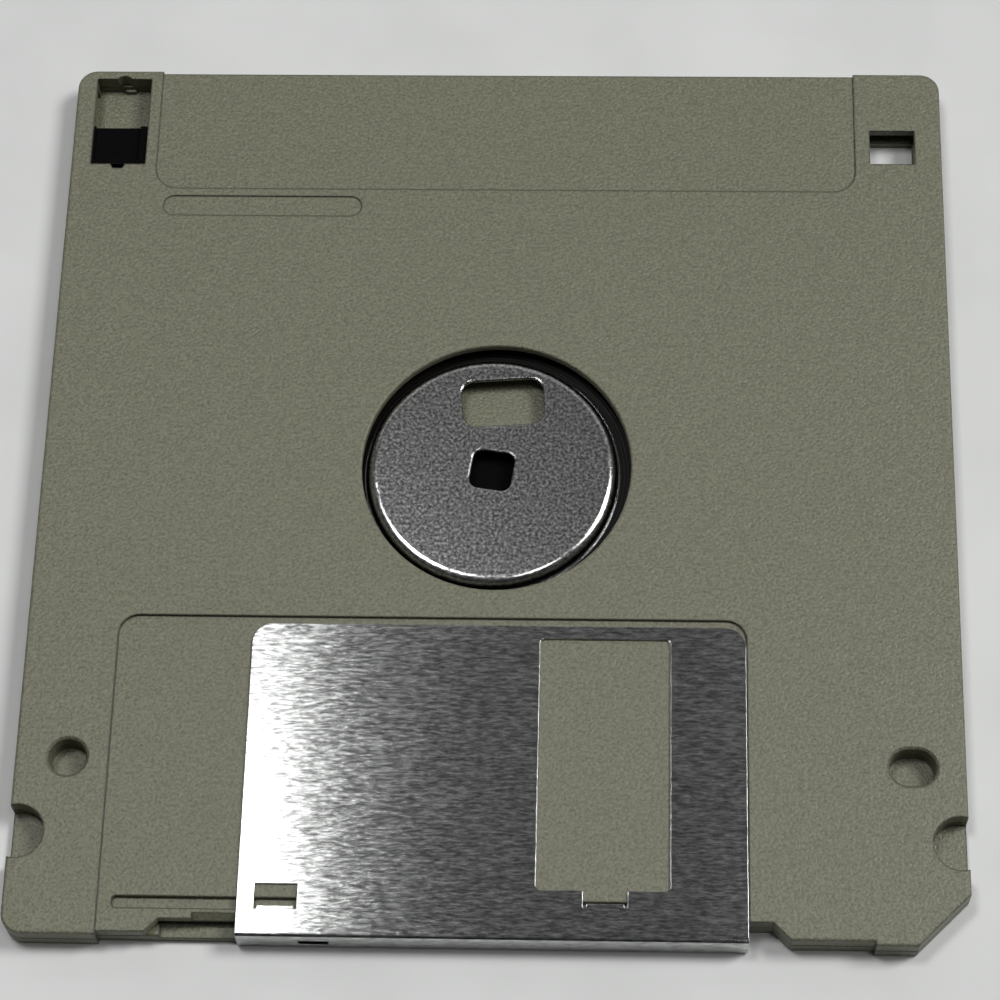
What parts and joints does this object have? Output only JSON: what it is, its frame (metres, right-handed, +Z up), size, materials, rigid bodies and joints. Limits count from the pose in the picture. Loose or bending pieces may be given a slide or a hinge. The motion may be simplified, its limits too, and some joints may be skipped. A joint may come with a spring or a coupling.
{
  "type": "floppy disk",
  "caption": "Rigid 3.5-inch floppy disk with a sprung metal shutter, a metal hub on a film disc, and a write-protect slider.",
  "frame": {"origin": "middle of the case's lower face, on its label side", "axes": "+X along the shutter's edge to the right, +Y from the shutter to the label end, +Z up out of the hub side"},
  "size_m": [0.09, 0.094, 0.0033],
  "materials": {
    "case_plastic": "fine spark-eroded grain, warm grey",
    "shutter_steel": "brushed along the shutter's travel",
    "slider_plastic": "satin black",
    "hub_steel": "satin stainless steel",
    "wear_plate_plastic": "smooth",
    "coated_film": "smooth dark brown coating",
    "adhesive": "smooth",
    "liner_fabric": "unwoven fibres",
    "lifter_film": "smooth",
    "spring_wire": "drawn wire"
  },
  "bodies": {
    "case": {"hub_side_shell": "case_plastic", "label_side_shell": "case_plastic", "hub_side_liner": "liner_fabric", "label_side_liner": "liner_fabric", "liner_lifter": "lifter_film", "centre_wear_plate": "wear_plate_plastic", "shutter_spring": "spring_wire"},
    "shutter": {"shutter": "shutter_steel"},
    "slider": {"write_protect_slider": "slider_plastic"},
    "disc": {"hub": "hub_steel", "hub_adhesive_ring": "adhesive", "magnetic_disc": "coated_film"}
  },
  "joints": [
    {"name": "shutter_slide", "type": "slide", "parent": "case", "child": "shutter", "axis": [-1, 0, 0], "range_m": [0, 0.01095], "stiffness_N_per_m": 50, "springref_m": -0.006, "deforming": ["shutter_spring"]},
    {"name": "write_protect_slide", "type": "slide", "parent": "case", "child": "slider", "axis": [0, 1, 0], "range_m": [0, 0.0046]},
    {"name": "disc_spin", "type": "hinge", "parent": "case", "child": "disc", "pos_m": [-0.00045, 0.0012, 0], "axis": [0, 0, 1], "continuous": true}
  ]
}
